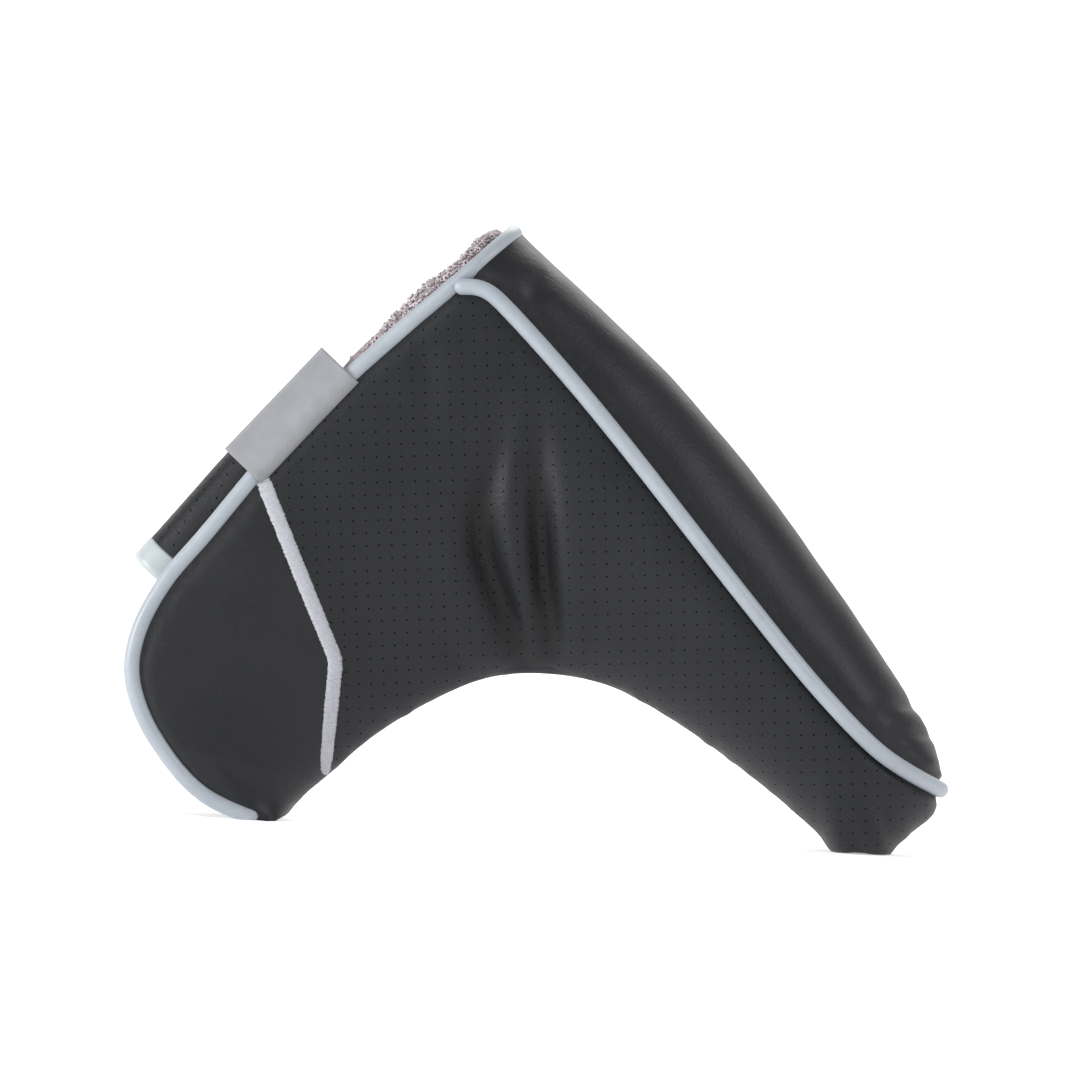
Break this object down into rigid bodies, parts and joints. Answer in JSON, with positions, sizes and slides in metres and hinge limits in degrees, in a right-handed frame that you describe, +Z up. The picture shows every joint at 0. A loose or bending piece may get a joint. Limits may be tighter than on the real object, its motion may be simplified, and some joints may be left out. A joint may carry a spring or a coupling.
{
  "type": "putter head cover",
  "caption": "Padded leather cover for a blade putter head, with piped seams, a fold-out flap and a wrap tab that closes round the shaft.",
  "frame": {"origin": "centre of the bounding box in plan, on the plane that the ends of the two legs stand on", "axes": "+X towards the toe end of the blade pocket, +Y towards the back panel (the front faces -Y), +Z up, from the leg ends to the apex"},
  "size_m": [0.1729, 0.0432, 0.1265],
  "materials": {
    "perforated_leather": "satin synthetic leather with a lattice of fine holes",
    "smooth_leather": "satin synthetic leather",
    "piping": "smooth satin",
    "woven_label": "woven satin ribbon",
    "fleece": "short curly pile",
    "foam": "open cell foam sheet",
    "thread": "satin stitch thread",
    "hook_and_loop": "hook and loop tape"
  },
  "bodies": {
    "cover": {"front_leather": "perforated_leather", "front_foam": "foam", "front_lining": "fleece", "back_leather": "perforated_leather", "back_foam": "foam", "back_lining": "fleece", "gusset_leather": "smooth_leather", "gusset_foam": "foam", "gusset_lining": "fleece", "sole_piping": "piping", "mouth_piping": "piping", "body_chevron_stitching": "thread"},
    "flap": {"flap_perforated_leather": "perforated_leather", "flap_neck_leather": "smooth_leather", "flap_foam": "foam", "flap_lining": "fleece", "flap_piping": "piping", "flap_chevron_stitching": "thread", "woven_label": "woven_label", "hook_patch": "hook_and_loop"},
    "tab": {"tab_leather": "perforated_leather", "tab_lining": "fleece", "tab_trim": "piping", "loop_patch": "hook_and_loop"}
  },
  "joints": [
    {"name": "flap_fold", "type": "hinge", "parent": "cover", "child": "flap", "pos_m": [-0.02668, -0.02021, 0.10913], "axis": [0.2217, -0.0807, 0.9718], "range_deg": [0, 90]},
    {"name": "tab_fold", "type": "hinge", "parent": "cover", "child": "tab", "pos_m": [-0.04522, 0.013, 0.09441], "axis": [-0.62, 0, -0.7846], "range_deg": [0, 63]}
  ],
  "couplings": [
    {"joint": "tab_fold", "follows": "flap_fold", "ratio": 0.7}
  ]
}
